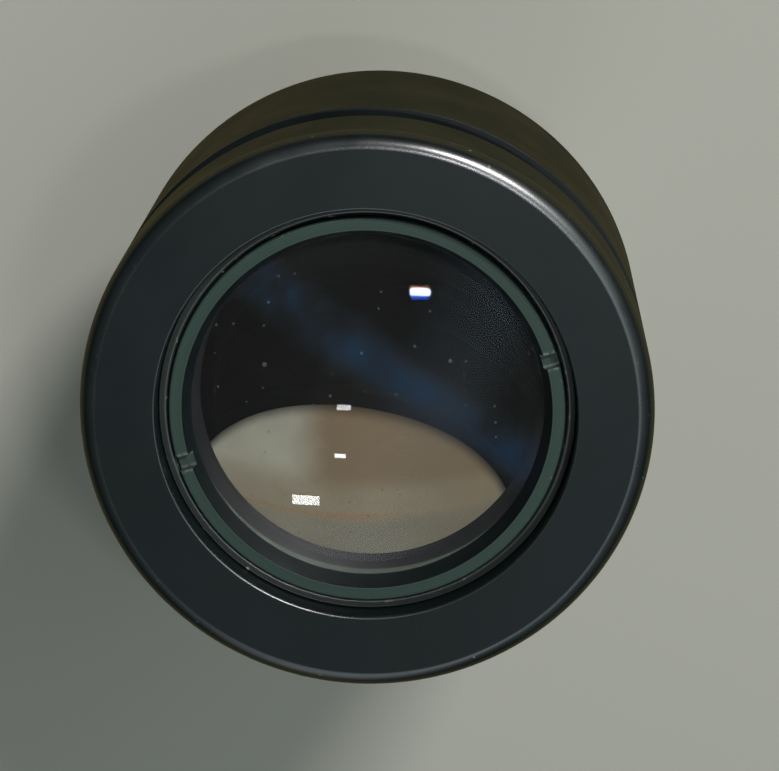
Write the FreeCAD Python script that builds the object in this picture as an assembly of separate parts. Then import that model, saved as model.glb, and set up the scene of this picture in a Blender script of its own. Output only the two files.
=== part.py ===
import FreeCAD, Part
import math
import os

# A widefield 10x microscope eyepiece for a 23.2 mm tube, stood on the rear end of its tube with the
# eye lens up. Lengths are in millimetres. The optical axis is Z, and the middle of the tube's rear
# end is the origin. Depths run down from the flat face round the eye lens.

# Head
head_radius = 19.0
bezel_width = 5.1
rim_length = 6.4
rim_round = 1.15
groove_length = 3.2
groove_drop = 1.6
skirt_step = 0.5
skirt_clearance = 1.1
shell_relief = 1.0
shell_wall_round_flange = 4.02
shell_back_round = 0.6
edge_break = 0.2

# Insertion tube, with the flange and the spigot that hold it in the back of the head
tube_radius = 11.58
tube_reach = 28.8
tube_wall = 0.85
tube_lead = 0.3
flange_recess = 0.8
flange_floor = 2.3
flange_floor_clearance = 0.48
spigot_step = 0.53
spigot_wall = 1.05
spigot_length = 4.6
face_relief_width = 0.7
face_relief_depth = 0.3
root_relief_depth = 0.15
root_relief_length = 0.5

# Glass: a cemented eye lens, flint in front, and a nearly plano-convex field lens
eye_vertex_depth = 1.4
eye_front_curve = 45.5
cement_curve = 21.0
eye_back_curve = 37.5
flint_thickness = 2.0
crown_edge = 1.02
lens_air_gap = 8.3
field_front_curve = 400.0
field_back_curve = 34.5
field_lens_edge = 1.23
glass_bevel = 0.2
focus_behind_field_lens = 16.5

# Eye lens retainer, with two slots for a pin wrench
retainer_depth = 1.34
retainer_throat_width = 0.8
retainer_throat_slope = 0.48
retainer_land = 0.2
wrench_slot_width = 1.0
wrench_slot_depth = 0.7
wrench_slot_angle = 16.0

# Lens cell, field lens cell and the rings in them
cell_wall = 1.2
cell_front_depth = 2.0
cell_mouth_wall = 0.65
cell_thread_wall = 0.8
cell_flange_length = 1.5
cell_flange_height = 1.7
cell_end_clearance = 0.6
spacer_seat_width = 1.7
spacer_ridges = 6
spacer_ridge_height = 0.45
field_cell_length = 6.8
field_cell_clearance = 0.4
field_cell_wall = 0.65
field_lip_length = 2.5
field_seat_width = 0.7
field_retainer_step = 0.3
field_retainer_length = 1.5

# Field stop, its carrier and the ring behind it
stop_width = 0.88
stop_thickness = 0.5
stop_seat_width = 0.35
carrier_wall = 0.75
carrier_length = 8.0
carrier_tail = 3.0
stop_lock_length = 1.6
stop_lock_wall = 0.55

# Baffle near the rear end of the tube
baffle_rim = 0.2
baffle_slope = 0.25
baffle_length = 1.2
baffle_inset = 1.0

# Headless screws: three in the groove hold the lens cell, one at the back holds the tube
cell_screw_radius = 1.0
cell_screw_angles = (90.0, 210.0, 330.0)
tube_screw_radius = 1.25
tube_screw_height = 2.3
tube_screw_angle = 90.0
screw_sink = 0.15
driver_slot_share = 0.3
driver_slot_depth = 0.6

# Clearances
thread_gap = 0.05
slide_gap = 0.1
glass_gap = 0.05
seat_gap = 0.02
cement_layer = 0.02

# How far a cutting shape runs past the wall it cuts, and how close two equal places are
cut_margin = 0.5
same_place = 1e-4

# Radii worked inwards from the head to the eye lens
groove_radius = head_radius - groove_drop
skirt_radius = groove_radius - skirt_step
eye_opening_radius = head_radius - bezel_width
cell_radius = eye_opening_radius - thread_gap
lens_bore_radius = cell_radius - cell_wall
eye_lens_radius = lens_bore_radius - glass_gap
retainer_radius = cell_radius - cell_mouth_wall - thread_gap
retainer_throat_radius = eye_lens_radius - retainer_throat_width

# Radii of the tube, and of its flange and spigot, which fit in the back of the head
tube_bore_radius = tube_radius - tube_wall
flange_radius = head_radius - shell_wall_round_flange
spigot_radius = flange_radius - spigot_step
spigot_bore_radius = spigot_radius - spigot_wall
field_cell_radius = spigot_bore_radius - field_cell_clearance
field_retainer_radius = field_cell_radius - field_cell_wall - thread_gap
field_lens_radius = field_retainer_radius - field_retainer_step
field_lip_radius = field_lens_radius - field_seat_width
carrier_radius = tube_bore_radius - thread_gap
stop_disc_radius = carrier_radius - carrier_wall - thread_gap
stop_radius = stop_disc_radius - stop_width
carrier_throat_radius = stop_disc_radius - stop_seat_width
baffle_mouth_radius = carrier_radius - baffle_rim

# Radii of the lens cell's rear thread, and of the flange that centres the cell in the shell
cell_thread_radius = field_cell_radius + thread_gap
cell_tail_radius = cell_thread_radius + cell_thread_wall
cell_flange_radius = max(cell_radius, cell_tail_radius) + cell_flange_height


def sag(curve, radius):
    """How far a spherical surface falls away from its vertex at a distance from the axis."""
    return abs(curve) - math.sqrt(curve * curve - radius * radius)


def surface_depth(surface, radius):
    """Depth of an optical surface at a distance from the axis."""
    vertex, curve = surface
    return vertex + math.copysign(sag(curve, radius), curve)


# Thickness of the two collecting lenses in the middle, from the thickness of their edges
crown_thickness = crown_edge + sag(cement_curve, eye_lens_radius) + sag(eye_back_curve, eye_lens_radius)
field_lens_thickness = (
    field_lens_edge + sag(field_back_curve, field_lens_radius) - sag(field_front_curve, field_lens_radius)
)

# Each optical surface is (depth of its vertex, radius of curvature), and the radius is positive
# where the surface bulges towards the eye.
eye_front = (eye_vertex_depth, eye_front_curve)
cement_front = (eye_front[0] + flint_thickness, cement_curve)
cement_back = (cement_front[0] + cement_layer, cement_curve)
eye_back = (cement_back[0] + crown_thickness, -eye_back_curve)
field_front = (eye_back[0] + lens_air_gap, -field_front_curve)
field_back = (field_front[0] + field_lens_thickness, -field_back_curve)
focus_depth = field_back[0] + focus_behind_field_lens

# Depths worked out from the sizes above
field_cell_top = field_front[0] - field_lip_length
field_cell_end = field_cell_top + field_cell_length
flange_floor_depth = field_cell_end + flange_floor_clearance
head_length = flange_floor_depth + flange_floor
total_length = head_length + tube_reach
shell_top = rim_length + groove_length
spigot_top = head_length - spigot_length
flange_top = head_length - flange_recess
cell_end = spigot_top - cell_end_clearance
cell_flange_top = field_cell_top - cell_flange_length / 2
cell_flange_end = cell_flange_top + cell_flange_length
skirt_end = cell_flange_top - skirt_clearance


def at(radius, depth):
    """A point of a turned outline, in the XZ plane."""
    return FreeCAD.Vector(radius, 0, total_length - depth)


def revolved(edges):
    """A closed run of edges in the XZ plane, turned once round the axis."""
    face = Part.Face(Part.Wire(edges))
    return face.revolve(FreeCAD.Vector(0, 0, 0), FreeCAD.Vector(0, 0, 1), 360)


def turned(*corners):
    """A ring or sleeve turned from an outline of (radius, depth) corners."""
    points = [at(radius, depth) for radius, depth in corners]
    edges = [Part.makeLine(a, b) for a, b in zip(points, points[1:] + points[:1])]
    return revolved(edges)


def rims(solid, *places):
    """The circular edges of a turned piece at the given (radius, depth) places."""
    found = []
    for edge in solid.Edges:
        if edge.Degenerated or not isinstance(edge.Curve, Part.Circle):
            continue
        for radius, depth in places:
            offset = edge.Curve.Center - at(0, depth)
            if abs(edge.Curve.Radius - radius) < same_place and offset.Length < same_place:
                found.append(edge)
    return found


def broken(solid, size, *places):
    """A turned piece with a small chamfer on the rims at the given places."""
    return solid.makeChamfer(size, rims(solid, *places))


def optical_arc(surface, radius):
    """The arc of an optical surface from the axis out to a radius."""
    inner, middle, outer = (at(r, surface_depth(surface, r)) for r in (0, radius / 2, radius))
    return Part.Arc(inner, middle, outer).toShape()


def glass(front, back, radius):
    """A lens between two optical surfaces, ground to a cylinder and bevelled at both rims."""
    front_rim = surface_depth(front, radius)
    back_rim = surface_depth(back, radius)
    edges = [
        optical_arc(front, radius),
        Part.makeLine(at(radius, front_rim), at(radius, back_rim)),
        optical_arc(back, radius),
        Part.makeLine(at(0, back[0]), at(0, front[0])),
    ]
    lens = revolved(edges)
    return broken(lens, glass_bevel, (radius, front_rim), (radius, back_rim))


def across(solid, width, near, far, top, bottom, angle):
    """A turned piece with one straight slot cut outwards through its wall at an angle."""
    slot = Part.makeBox(far - near, width, bottom - top)
    slot.translate(FreeCAD.Vector(near, -width / 2, total_length - bottom))
    slot.rotate(FreeCAD.Vector(0, 0, 0), FreeCAD.Vector(0, 0, 1), angle)
    return solid.cut(slot)


def wrench_slots(ring, inner, outer, top, bottom):
    """A ring with the two opposite slots that a pin wrench turns it by."""
    for angle in (wrench_slot_angle, wrench_slot_angle + 180):
        near, far = inner - cut_margin, outer + cut_margin
        ring = across(ring, wrench_slot_width, near, far, top, bottom, angle)
    return ring


def front_slots(ring, inner, outer, face):
    """Wrench slots in the face of a ring that looks towards the eye."""
    return wrench_slots(ring, inner, outer, face - cut_margin, face + wrench_slot_depth)


def back_slots(ring, inner, outer, face):
    """Wrench slots in the face of a ring that looks down the tube."""
    return wrench_slots(ring, inner, outer, face - wrench_slot_depth, face + cut_margin)


def radial_pin(radius, inner, outer, depth, angle):
    """A cylinder that points straight out from the axis."""
    start = at(inner, depth)
    pin = Part.makeCylinder(radius, outer - inner, start, FreeCAD.Vector(1, 0, 0))
    pin.rotate(FreeCAD.Vector(0, 0, 0), FreeCAD.Vector(0, 0, 1), angle)
    return pin


def headless_screw(radius, inner, outer, depth, angle):
    """A headless screw with a driver slot in its outer end."""
    screw = radial_pin(radius, inner, outer, depth, 0)
    diameter = 2 * radius
    width = diameter * driver_slot_share
    slot = Part.makeBox(driver_slot_depth, width, 2 * diameter)
    slot.translate(at(outer - driver_slot_depth, depth) - FreeCAD.Vector(0, width / 2, diameter))
    screw = screw.cut(slot)
    screw.rotate(FreeCAD.Vector(0, 0, 0), FreeCAD.Vector(0, 0, 1), angle)
    return screw


def eye_bezel():
    """The flat ring round the eye lens, the groove for an eyeguard and the threaded skirt."""
    ring = turned(
        (eye_opening_radius, 0),
        (head_radius, 0),
        (head_radius, rim_length),
        (groove_radius, rim_length),
        (groove_radius, shell_top),
        (skirt_radius, shell_top),
        (skirt_radius, skirt_end),
        (eye_opening_radius, skirt_end),
    )
    ring = ring.makeFillet(rim_round, rims(ring, (head_radius, 0)))
    ring = broken(ring, edge_break, (eye_opening_radius, 0), (head_radius, rim_length))
    for angle in cell_screw_angles:
        hole = radial_pin(
            cell_screw_radius + thread_gap,
            eye_opening_radius - cut_margin,
            groove_radius + cut_margin,
            rim_length + groove_length / 2,
            angle,
        )
        ring = ring.cut(hole)
    return ring


def cell_screws():
    """The three headless screws in the groove, whose tips hold the lens cell."""
    screws = {}
    for number, angle in enumerate(cell_screw_angles, start=1):
        screws[f"cell_screw_{number}"] = headless_screw(
            cell_screw_radius,
            cell_radius + seat_gap,
            groove_radius - screw_sink,
            rim_length + groove_length / 2,
            angle,
        )
    return screws


def head_shell():
    """The plain cylinder that the user grips, threaded for the bezel and for the tube."""
    thread_radius = skirt_radius + thread_gap
    thread_end = skirt_end + shell_relief
    cell_room_radius = cell_flange_radius + slide_gap
    tube_thread_radius = spigot_radius + thread_gap
    recess_radius = flange_radius + slide_gap
    shell = turned(
        (thread_radius, shell_top),
        (head_radius, shell_top),
        (head_radius, head_length),
        (recess_radius, head_length),
        (recess_radius, flange_top),
        (tube_thread_radius, flange_top),
        (tube_thread_radius, cell_end),
        (cell_room_radius, cell_end),
        (cell_room_radius, thread_end),
        (thread_radius, thread_end),
    )
    shell = broken(shell, edge_break, (head_radius, shell_top))
    shell = shell.makeFillet(shell_back_round, rims(shell, (head_radius, head_length)))
    hole = radial_pin(
        tube_screw_radius + thread_gap,
        spigot_radius - cut_margin,
        head_radius + cut_margin,
        head_length - tube_screw_height,
        tube_screw_angle,
    )
    return shell.cut(hole)


def tube_lock_screw():
    """The headless screw at the back of the head that keeps the tube from turning."""
    return headless_screw(
        tube_screw_radius,
        spigot_radius + seat_gap,
        head_radius - screw_sink,
        head_length - tube_screw_height,
        tube_screw_angle,
    )


def insertion_tube():
    """The 23.2 mm tube, in one piece with the flange and the spigot that hold it in the head.

    The corner between the flange and the tube is relieved both ways, so that the flange seats on
    the microscope's tube.
    """
    face_relief_radius = tube_radius + face_relief_width
    face_relief_top = head_length - face_relief_depth
    root_radius = tube_radius - root_relief_depth
    root_end = head_length + root_relief_length
    tube = turned(
        (spigot_bore_radius, spigot_top),
        (spigot_radius, spigot_top),
        (spigot_radius, flange_top),
        (flange_radius, flange_top),
        (flange_radius, head_length),
        (face_relief_radius, head_length),
        (face_relief_radius, face_relief_top),
        (root_radius, face_relief_top),
        (root_radius, root_end),
        (tube_radius, root_end),
        (tube_radius, total_length),
        (tube_bore_radius, total_length),
        (tube_bore_radius, flange_floor_depth),
        (spigot_bore_radius, flange_floor_depth),
    )
    tube = broken(tube, tube_lead, (tube_radius, total_length))
    return broken(tube, edge_break, (tube_bore_radius, total_length), (spigot_radius, spigot_top))


def eye_lens_retainer():
    """The threaded ring in front of the eye lens, with a sloping throat and a conical seat."""
    throat_depth = surface_depth(eye_front, retainer_throat_radius) - seat_gap
    rim_depth = surface_depth(eye_front, eye_lens_radius) - seat_gap
    ring = turned(
        (retainer_throat_radius + retainer_throat_slope, retainer_depth),
        (retainer_radius, retainer_depth),
        (retainer_radius, rim_depth),
        (eye_lens_radius, rim_depth),
        (retainer_throat_radius, throat_depth),
        (retainer_throat_radius, throat_depth - retainer_land),
    )
    ring = broken(ring, edge_break / 2, (retainer_radius, retainer_depth))
    return front_slots(ring, retainer_throat_radius, retainer_radius, retainer_depth)


def lens_cell():
    """The barrel that holds the eye lens and its spacer, and is threaded for the field lens cell."""
    mouth_radius = retainer_radius + thread_gap
    mouth_end = surface_depth(eye_front, eye_lens_radius) + glass_bevel
    return turned(
        (mouth_radius, cell_front_depth),
        (cell_radius, cell_front_depth),
        (cell_radius, cell_flange_top),
        (cell_flange_radius, cell_flange_top),
        (cell_flange_radius, cell_flange_end),
        (cell_tail_radius, cell_flange_end),
        (cell_tail_radius, cell_end),
        (cell_thread_radius, cell_end),
        (cell_thread_radius, field_cell_top),
        (lens_bore_radius, field_cell_top),
        (lens_bore_radius, mouth_end),
        (mouth_radius, mouth_end),
    )


def lens_spacer():
    """The ring between the two lenses, ridged inside against stray light."""
    throat_radius = eye_lens_radius - spacer_seat_width
    seat_inner = surface_depth(eye_back, throat_radius) + seat_gap
    seat_outer = surface_depth(eye_back, eye_lens_radius) + seat_gap
    pitch = (field_cell_top - seat_inner) / (spacer_ridges + 1)
    corners = [(throat_radius, seat_inner), (eye_lens_radius, seat_outer)]
    corners += [(eye_lens_radius, field_cell_top), (throat_radius, field_cell_top)]
    for ridge in range(spacer_ridges, 0, -1):
        valley = seat_inner + ridge * pitch
        corners.append((throat_radius, valley + pitch / 4))
        corners.append((throat_radius + spacer_ridge_height, valley))
        corners.append((throat_radius, valley - pitch / 4))
    return turned(*corners)


def field_lens_cell():
    """The short cell that screws into the back of the lens cell and holds the field lens."""
    lip_end = surface_depth(field_front, field_lens_radius) - seat_gap
    thread_top = surface_depth(field_back, field_lens_radius) + glass_bevel
    lens_bore = field_lens_radius + glass_gap
    ring_bore = field_retainer_radius + thread_gap
    cell = turned(
        (field_lip_radius, field_cell_top),
        (field_cell_radius, field_cell_top),
        (field_cell_radius, field_cell_end),
        (ring_bore, field_cell_end),
        (ring_bore, thread_top),
        (lens_bore, thread_top),
        (lens_bore, lip_end),
        (field_lip_radius, lip_end),
    )
    return back_slots(cell, ring_bore, field_cell_radius, field_cell_end)


def field_lens_retainer():
    """The threaded ring behind the field lens, with a conical seat."""
    throat_depth = surface_depth(field_back, field_lip_radius) + seat_gap
    rim_depth = surface_depth(field_back, field_lens_radius) + seat_gap
    flange_depth = surface_depth(field_back, field_lens_radius) + glass_bevel + thread_gap
    end = throat_depth + field_retainer_length
    ring = turned(
        (field_lip_radius, throat_depth),
        (field_lens_radius, rim_depth),
        (field_lens_radius, flange_depth),
        (field_retainer_radius, flange_depth),
        (field_retainer_radius, end),
        (field_lip_radius, end),
    )
    return back_slots(ring, field_lip_radius, field_retainer_radius, end)


def field_stop():
    """The diaphragm in the focal plane, bevelled to a knife edge towards the eye."""
    top = focus_depth - stop_thickness
    return turned(
        (stop_radius, focus_depth),
        (stop_disc_radius, focus_depth),
        (stop_disc_radius, top),
        (stop_radius + stop_thickness, top),
    )


def stop_carrier():
    """The threaded sleeve that carries the field stop and sets its distance from the lens."""
    ledge = focus_depth - stop_thickness - seat_gap
    end = focus_depth + carrier_tail
    pocket_radius = stop_disc_radius + thread_gap
    sleeve = turned(
        (carrier_throat_radius, end - carrier_length),
        (carrier_radius, end - carrier_length),
        (carrier_radius, end),
        (pocket_radius, end),
        (pocket_radius, ledge),
        (carrier_throat_radius, ledge),
    )
    return back_slots(sleeve, pocket_radius, carrier_radius, end)


def stop_lock_ring():
    """The ring that screws in behind the field stop."""
    top = focus_depth + seat_gap
    end = top + stop_lock_length
    throat_radius = stop_disc_radius - stop_lock_wall
    ring = turned(
        (throat_radius, top),
        (stop_disc_radius, top),
        (stop_disc_radius, end),
        (throat_radius, end),
    )
    return back_slots(ring, throat_radius, stop_disc_radius, end)


def rear_baffle():
    """The blackened ring in the tube's rear end, bevelled to a sharp aperture."""
    aperture_depth = total_length - baffle_inset
    return turned(
        (baffle_mouth_radius - baffle_slope, aperture_depth),
        (carrier_radius, aperture_depth),
        (carrier_radius, aperture_depth - baffle_length),
        (baffle_mouth_radius, aperture_depth - baffle_length),
    )


def pieces():
    """Every piece of the eyepiece by name."""
    made = {
        "eye_bezel": eye_bezel(),
        "head_shell": head_shell(),
        "insertion_tube": insertion_tube(),
        "eye_lens_retainer": eye_lens_retainer(),
        "eye_lens_flint": glass(eye_front, cement_front, eye_lens_radius),
        "eye_lens_crown": glass(cement_back, eye_back, eye_lens_radius),
        "lens_cell": lens_cell(),
        "lens_spacer": lens_spacer(),
        "field_lens": glass(field_front, field_back, field_lens_radius),
        "field_lens_cell": field_lens_cell(),
        "field_lens_retainer": field_lens_retainer(),
        "field_stop": field_stop(),
        "stop_carrier": stop_carrier(),
        "stop_lock_ring": stop_lock_ring(),
        "rear_baffle": rear_baffle(),
        "tube_lock_screw": tube_lock_screw(),
    }
    made.update(cell_screws())
    return made


os.makedirs("parts", exist_ok=True)
for name, shape in pieces().items():
    shape.exportStep(f"parts/{name}.step")
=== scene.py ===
import math

import bpy
import numpy as np
from bpy.props import FloatProperty, FloatVectorProperty, PointerProperty
from mathutils import Matrix, Vector


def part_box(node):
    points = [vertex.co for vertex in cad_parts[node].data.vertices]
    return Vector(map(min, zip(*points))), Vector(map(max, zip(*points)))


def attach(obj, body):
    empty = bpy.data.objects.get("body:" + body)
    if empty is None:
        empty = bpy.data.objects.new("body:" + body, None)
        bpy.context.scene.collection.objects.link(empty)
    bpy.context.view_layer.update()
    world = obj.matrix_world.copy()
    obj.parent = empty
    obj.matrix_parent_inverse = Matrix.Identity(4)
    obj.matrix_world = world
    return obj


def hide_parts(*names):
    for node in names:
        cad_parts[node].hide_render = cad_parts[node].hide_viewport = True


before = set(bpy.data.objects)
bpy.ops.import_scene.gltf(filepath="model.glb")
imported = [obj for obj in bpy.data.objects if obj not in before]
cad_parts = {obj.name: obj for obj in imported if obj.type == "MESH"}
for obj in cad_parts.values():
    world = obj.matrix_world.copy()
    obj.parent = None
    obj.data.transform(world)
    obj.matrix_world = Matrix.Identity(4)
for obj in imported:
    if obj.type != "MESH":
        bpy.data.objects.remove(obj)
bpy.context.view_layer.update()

bl_info = {
    "name": "Microscope eyepiece",
    "version": (1, 0, 0),
    "blender": (4, 5, 0),
    "location": "3D View > Sidebar > Eyepiece",
    "description": "Dresses a widefield microscope eyepiece, stood on the rear end of its tube",
    "category": "Object",
}

# Heights are in millimetres above the rear end of the tube, and the optical axis is Z. An outline
# is a list of (radius, height, rounding) corners in the half-plane beside the axis.
MM = 0.001
FULL_TURN = 2 * math.pi


def span(node):
    """Outer radius, lowest and highest point of a turned node of the frame, in millimetres."""
    low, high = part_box(node)
    return high[0] / MM, low[2] / MM, high[2] / MM


# Places that the frame gives
HEAD_R, SKIRT_END, TOP = span("eye_bezel")
_, HEAD_BACK, SHELL_TOP = span("head_shell")
TUBE_FLANGE_R, _, TUBE_TOP = span("insertion_tube")
RETAINER_R, RETAINER_FOOT, RETAINER_TOP = span("eye_lens_retainer")
EYE_LENS_R, _, _ = span("eye_lens_flint")
FLANGE_R, CELL_END, CELL_TOP = span("lens_cell")
SPACER_R, SPACER_END, _ = span("lens_spacer")
FIELD_LENS_R, _, _ = span("field_lens")
FIELD_CELL_R, FIELD_CELL_END, FIELD_CELL_TOP = span("field_lens_cell")
FIELD_RING_R, FIELD_RING_END, _ = span("field_lens_retainer")
STOP_R, STOP_END, STOP_TOP = span("field_stop")
CARRIER_R, CARRIER_END, CARRIER_TOP = span("stop_carrier")
LOCK_R, LOCK_END, LOCK_TOP = span("stop_lock_ring")
BAFFLE_R, BAFFLE_END, BAFFLE_TOP = span("rear_baffle")

# Clearances and small features that every turned piece shares
GAP = 0.05
SEAT_GAP = 0.02
BROKEN_EDGE = 0.08
CRISP = 0.05        # a corner rounded less than this carries no wear
WORN_EDGE = 0.2
SLOT_WIDTH = 1.0
SLOT_DEPTH = 0.7
SLOT_ANGLE = math.radians(16.0)
COARSE_PITCH = 0.75
FINE_PITCH = 0.5
THREAD_SHARE = 0.55
CELL_CROWN = 0.2    # how far the cell's rounded front end stands above the solid's
SPACER_RIDGES = 6
DRIVER_SLOT_SHARE, DRIVER_SLOT_DEPTH, SCREW_ROUND = 0.3, 0.6, 0.12
ALMOST_ON_AXIS = 1e-6

# How finely the pieces are cut up
COLUMNS = 288
TUBE_COLUMNS = 240
ARC_STEP = math.radians(6.0)
SMALL_ARC = 0.1
SMALL_ARC_STEP = math.radians(18.0)
ROWS_PER_PITCH = 5
SUPPORT = 0.03
SMOOTH_BELOW = math.radians(32.0)

# A row faces the axis or the eye where its normal's part is past these
INWARD, UPWARD = -0.5, 0.5

# The stage
PICTURE_WIDTH, PICTURE_HEIGHT = 779, 771
FLOOR_REACH, FLOOR_DEPTH = 900.0, 4.0
FLASH_X, FLASH_Y, FLASH_Z = -27.0, -29.5, 229.7
WINDOW = (-198.0, -336.0, 511.0)


def measure(name, description, default, **more):
    """A property for one number, in the unit that its group's docstring gives."""
    return FloatProperty(name=name, description=description, default=default, **more)


class HeadSizes(bpy.types.PropertyGroup):
    """Sizes of the bezel and the shell, in millimetres."""

    opening: measure("Opening", "Radius of the bezel's bore", 13.9)
    rim: measure("Rim", "Length of the bezel's side wall", 6.4)
    rim_round: measure("Rim rounding", "Radius of the bezel's outer edge", 1.15)
    groove: measure("Groove", "Radius of the eyeguard groove's floor", 17.4)
    skirt: measure("Skirt", "Radius of the bezel's thread", 16.9)
    shell_relief: measure("Relief", "Length of the shell's thread relief", 1.0)
    back_round: measure("Back rounding", "Radius of the shell's rear edge", 0.6)
    recess: measure("Recess", "Depth of the recess for the tube's flange", 0.8)


class TubeSizes(bpy.types.PropertyGroup):
    """Sizes of the insertion tube and what is screwed into it, in millimetres."""

    outside: measure("Outside", "Radius of the tube", 11.58)
    bore: measure("Bore", "Radius of the tube's bore", 10.73)
    floor: measure("Flange floor", "Thickness of the flange inside", 2.3)
    spigot: measure("Spigot", "Radius of the tube's upper thread", 14.45)
    spigot_bore: measure("Spigot bore", "Radius of the bore in the spigot", 13.4)
    relief: measure("Relief", "Width of the relief in the flange's face", 0.7)
    relief_depth: measure("Relief depth", "Depth of that relief", 0.3)
    root: measure("Root", "Depth of the relief in the tube's root", 0.15)
    root_length: measure("Root length", "Length of that relief", 0.5)
    lead: measure("Lead", "Chamfer at the tube's rear end", 0.3)
    stop: measure("Field stop", "Radius of the field stop's aperture", 9.0)
    carrier_throat: measure("Carrier throat", "Radius inside the carrier", 9.53)
    lock_throat: measure("Lock ring throat", "Radius inside the lock ring", 9.33)
    baffle: measure("Baffle", "Radius of the rear baffle's aperture", 10.23)
    baffle_mouth: measure("Baffle mouth", "Radius of its wide end", 10.48)


class LensSizes(bpy.types.PropertyGroup):
    """Curves and places of the glasses, in millimetres, and their refractive indices."""

    vertex: measure("Front vertex", "Depth of the eye lens below the face", 1.4)
    front_curve: measure("Front curve", "Radius of the front surface", 45.5)
    cement_curve: measure("Cement curve", "Radius of the cemented surface", 21.0)
    back_curve: measure("Back curve", "Radius of the eye lens's back", 37.5)
    flint: measure("Flint", "Thickness of the flint", 2.0)
    crown: measure("Crown", "Thickness of the crown", 7.4)
    air: measure("Air", "Distance between the lenses", 8.3)
    field_front: measure("Field front", "Radius of the hollow side", 400.0)
    field_back: measure("Field back", "Radius of the bulging side", 34.5)
    field_glass: measure("Field lens", "Thickness of the field lens", 3.204)
    cement: measure("Cement", "Thickness of the cement", 0.02)
    bevel: measure("Bevel", "Bevel on the rims of the glasses", 0.2)
    flint_index: measure("Flint index", "Refractive index", 1.70)
    crown_index: measure("Crown index", "Refractive index", 1.64)
    field_index: measure("Field index", "Refractive index", 1.60)


class MountSizes(bpy.types.PropertyGroup):
    """Sizes of the rings and cells that hold the glasses, in millimetres."""

    throat: measure("Throat", "Radius inside the eye lens retainer", 11.8)
    throat_mouth: measure("Throat mouth", "Radius of its wide end", 12.28)
    cell: measure("Cell", "Radius of the lens cell", 13.85)
    lens_bore: measure("Lens bore", "Radius of the bore for the eye lens", 12.65)
    flange_length: measure("Flange", "Length of the cell's flange", 1.5)
    spacer_throat: measure("Spacer throat", "Radius inside the spacer", 10.9)
    ridge: measure("Ridge", "Height of the spacer's ridges", 0.45)
    field_lip: measure("Field lip", "Radius inside the field lens's lip", 11.3)


def turned_colour(name, description, default):
    """A colour property, written as sRGB."""
    return FloatVectorProperty(
        name=name, description=description, subtype="COLOR", size=3, min=0.0, max=1.0, default=default
    )


def from_hex(code):
    """The three sRGB parts of a colour written as six hex digits."""
    return tuple(int(code[at:at + 2], 16) / 255 for at in (0, 2, 4))


def linear(colour):
    """An sRGB colour, given as hex digits or as three parts, in linear light with full opacity."""
    parts = from_hex(colour) if isinstance(colour, str) else tuple(colour)
    made = [part / 12.92 if part <= 0.04045 else ((part + 0.055) / 1.055) ** 2.4 for part in parts]
    return (*made, 1.0)


class FinishColours(bpy.types.PropertyGroup):
    """Colours of the finishes."""

    anodised: turned_colour("Black anodising", "The head's finish", from_hex("0E1719"))
    grey: turned_colour("Grey anodising", "The ring round the eye lens", from_hex("2A3F38"))
    brass: turned_colour("Blackened brass", "The cells and the stop", from_hex("1C2221"))
    coating: turned_colour("Coating", "What the lens coating reflects", from_hex("46546E"))
    floor: turned_colour("Floor", "The pale floor", from_hex("C6C5BA"))


class StageSizes(bpy.types.PropertyGroup):
    """The photograph's view: lengths in millimetres, angles in radians and places in pixels."""

    distance: measure("Distance", "From the camera to the eye end", 181.87)
    tilt: measure("Tilt", "Tilt of the axis", math.radians(15.4), subtype="ANGLE")
    swing: measure("Swing", "Which way it tilts", math.radians(7.63), subtype="ANGLE")
    face_x: measure("Face x", "Column of the face's centre", 365.68)
    face_y: measure("Face y", "Row of the face's centre", 418.10)
    focal: measure("Focal length", "In pixels of the photograph", 2769.5)


def settings():
    """The sizes of the head, the tube, the glasses and their mounts."""
    scene = bpy.context.scene
    return scene.eyepiece_head, scene.eyepiece_tube, scene.eyepiece_lens, scene.eyepiece_mount


# Outlines and turned surfaces

def rounded(corners, closed=True):
    """The outline through the corners, with each one rounded, by the broken edge if not told.

    At a corner the outward normal turns evenly from one side's to the next one's, and a point is
    the arc's centre plus the rounding times that normal, or minus it at an inner corner. Returns
    points, normals and wear, which is 1 on the arcs of outer corners that aren't crisp, and 0
    elsewhere.
    """
    corners = np.array([(*corner, BROKEN_EDGE)[:3] for corner in corners], float)
    place, rounding = corners[:, :2], corners[:, 2]
    after = np.roll(place, -1, axis=0)
    if closed and np.sum(place[:, 0] * after[:, 1] - after[:, 0] * place[:, 1]) < 0:
        place, rounding = place[::-1], rounding[::-1]
    points, normals, wear = [], [], []
    count = len(place)
    for i in range(count):
        here, before, beyond = place[i], place[i - 1], place[(i + 1) % count]
        into = (here - before) / np.linalg.norm(here - before)
        out = (beyond - here) / np.linalg.norm(beyond - here)
        turn = math.atan2(into[0] * out[1] - into[1] * out[0], into @ out)
        side = 1.0 if turn > 0 else -1.0
        normal = np.array([into[1], -into[0]])
        radius = max(rounding[i], 1e-4)
        start = here - into * radius * math.tan(abs(turn) / 2)
        centre = start - side * radius * normal
        steps = max(2, math.ceil(abs(turn) / (SMALL_ARC_STEP if radius < SMALL_ARC else ARC_STEP)))
        for angle in np.linspace(0.0, turn, steps + 1):
            spun = np.array([
                normal[0] * math.cos(angle) - normal[1] * math.sin(angle),
                normal[0] * math.sin(angle) + normal[1] * math.cos(angle),
            ])
            points.append(centre + side * radius * spun)
            normals.append(spun)
            wear.append(1.0 if side > 0 and radius > CRISP and 0 < abs(angle) < abs(turn) else 0.0)
    return np.array(points), np.array(normals), np.array(wear)


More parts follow.
